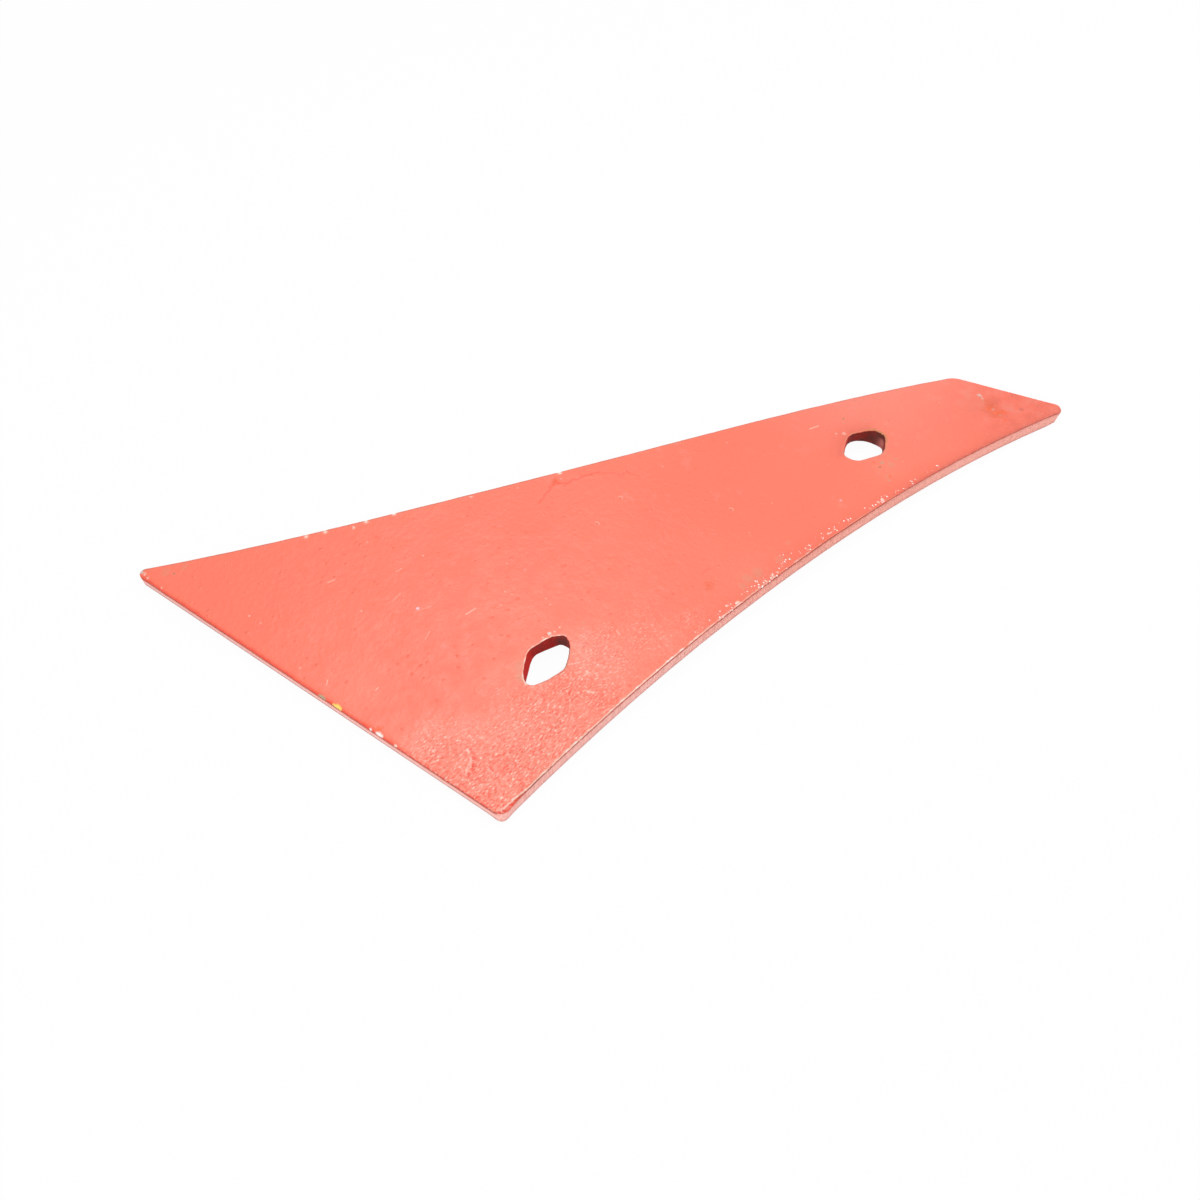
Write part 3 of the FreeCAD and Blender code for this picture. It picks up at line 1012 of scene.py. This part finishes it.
def worn_paint():
    """Coral paint over rolled steel: mottled, finely pitted with painted shade and sheen in its pits, speckled
    where it wears, dull on the walls.
    """
    material = bpy.data.materials.new("worn_coral_paint")
    m = Nodes(material)
    place = m.add("ShaderNodeTexCoord").outputs["Object"]
    skin, speckled = m.attribute("skin"), m.attribute("speckled")
    walled, bored = m.attribute("walled"), m.attribute("bored")
    drawn = m.stretched(place, "TEXTURE", pit_stretch, pit_turn)
    peel = m.noise(drawn, 0.8, 3, 0.6)
    lumps = m.ramp(m.noise(drawn, 2.6, 2), 0.3, 0.7)
    streaks = m.noise(m.stretched(place, "POINT", (1.0, 1.0, 0.12)), 0.8, 3)

    base = mottled_paint(m, m.attribute("paint", "Color"), place)
    base = pitted_paint(m, base, skin, peel, lumps)
    base = speckled_paint(m, base, place, speckled)
    dull = m.times(m.ramp(streaks, 0.45, 0.65), walled)
    base = m.darken(m.times(dull, 0.8), base, streak_tint)

    normal = m.bump(m.ramp(m.noise(place, 3.2, 2), 0.3, 0.7), 0.09)
    few = m.ramp(m.noise(place, 14, 2), 0.42, 0.55)
    normal = m.bump(m.times(m.ramp(m.cells(place, 5.5), 0.24, 0.02), few), 0.3, normal)
    normal = m.bump(m.times(lumps, skin), 0.35, normal)
    normal = m.bump(m.times(peel, skin), 0.65, normal)
    normal = m.bump(m.times(streaks, walled), 0.8, normal)
    normal = m.bump(m.noise(place, 0.8, 2), 0.09, normal)

    roughness = m.maths("ADD", m.ramp(m.noise(place, 9, 3), 0.3, 0.7, 0.42, 0.52), m.times(walled, 0.15))
    roughness = m.maths("SUBTRACT", roughness, m.times(skin, 0.14))
    shine = m.add("ShaderNodeBsdfPrincipled")
    m.feed(shine.inputs["Base Color"], base)
    m.feed(shine.inputs["Roughness"], m.maths("ADD", roughness, m.times(bored, 0.4), True))
    m.feed(shine.inputs["Normal"], normal)
    m.finish(shine.outputs[0])
    return material


def seen_directly(m):
    """1 for rays from the camera and for those in gloss and glass, and 0 for all other light."""
    rays = m.add("ShaderNodeLightPath").outputs
    seen = m.maths("MAXIMUM", rays["Is Camera Ray"], rays["Is Glossy Ray"])
    return m.maths("MAXIMUM", seen, rays["Is Transmission Ray"])


# Share of plain white in what the camera sees of the floor, near the plate and far from it, and where it
# changes, in m
near_white = 0.96
far_white = 1.0
near_reach = 0.5
far_reach = 1.5


def white_floor():
    """White floor that keeps a faint shadow, and far from the plate is as white as the world behind it."""
    material = bpy.data.materials.new("white_floor")
    m = Nodes(material)
    away = m.add("ShaderNodeVectorMath", operation="LENGTH")
    m.feed(away.inputs[0], m.add("ShaderNodeTexCoord").outputs["Object"])
    share = m.ramp(away.outputs["Value"], near_reach, far_reach, near_white, far_white)
    matt = m.add("ShaderNodeBsdfDiffuse")
    m.feed(matt.inputs["Color"], (0.9, 0.9, 0.9, 1))
    glow = m.add("ShaderNodeEmission")
    mix = m.add("ShaderNodeMixShader")
    m.feed(mix.inputs[0], m.times(seen_directly(m), share))
    m.feed(mix.inputs[1], matt.outputs[0])
    m.feed(mix.inputs[2], glow.outputs[0])
    m.finish(mix.outputs[0])
    return material


world_light = 0.296


def studio_world():
    """World that lights softly and is white behind the plate."""
    world = bpy.data.worlds.new("studio")
    bpy.context.scene.world = world
    m = Nodes(world)
    background = m.add("ShaderNodeBackground")
    m.feed(background.inputs["Color"], (1, 1, 1, 1))
    m.feed(background.inputs["Strength"], m.ramp(seen_directly(m), 0.0, 1.0, world_light, 1.0))
    m.finish(background.outputs[0], "ShaderNodeOutputWorld")


def softbox(name, place, target, size, power):
    """Square area lamp aimed at a target."""
    lamp = bpy.data.lights.new(name, "AREA")
    lamp.shape = "SQUARE"
    lamp.size = size
    lamp.energy = power
    holder = bpy.data.objects.new(name, lamp)
    holder.location = place
    holder.rotation_euler = (Vector(target) - Vector(place)).to_track_quat("-Z", "Y").to_euler()
    bpy.context.scene.collection.objects.link(holder)


# Lamps: name, place, target and side in m, and power in W
lamps = [
    ("key", (0.17, 0.36, 1.20), (-0.1, 0, 0), 0.45, 7.6),
    ("side", (0.80, -0.60, 0.68), (0, 0, 0), 0.45, 5.4),
    ("fill", (-1.05, -0.35, 0.35), (0, 0, 0), 0.8, 6.6),
]

studio_world()
for name, place, target, size, power in lamps:
    softbox(name, place, target, size, power)

plate.data.materials.append(worn_paint())
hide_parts(NODE)
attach(plate, "root")

# Floor, in m
floor_reach = 4.0
floor_corners = [(floor_reach * x, floor_reach * y, 0) for x, y in ((-1, -1), (1, -1), (1, 1), (-1, 1))]
floor_mesh = bpy.data.meshes.new("floor")
floor_mesh.from_pydata(floor_corners, [], [(0, 1, 2, 3)])
floor = bpy.data.objects.new("floor", floor_mesh)
bpy.context.scene.collection.objects.link(floor)
floor.data.materials.append(white_floor())

# Camera of the photograph: its focal length and width in pixels, its place in m, and its three directions
focal_px = 950
photo_px = 1200
camera_place = (-0.341062, -0.211601, 0.437757)
camera_right = (0.561885, -0.827194, -0.005881)
camera_up = (0.669715, 0.450718, 0.590199)
camera_back = (-0.485559, -0.335563, 0.807236)

camera_data = bpy.data.cameras.new("camera")
camera_data.sensor_width = 36.0
camera_data.lens = camera_data.sensor_width * focal_px / photo_px
camera_data.clip_start = 0.02
camera = bpy.data.objects.new("camera", camera_data)
turn = Matrix((camera_right, camera_up, camera_back)).transposed().to_4x4()
camera.matrix_world = Matrix.Translation(camera_place) @ turn
bpy.context.scene.collection.objects.link(camera)
bpy.context.scene.camera = camera
bpy.context.scene.view_settings.view_transform = "Standard"
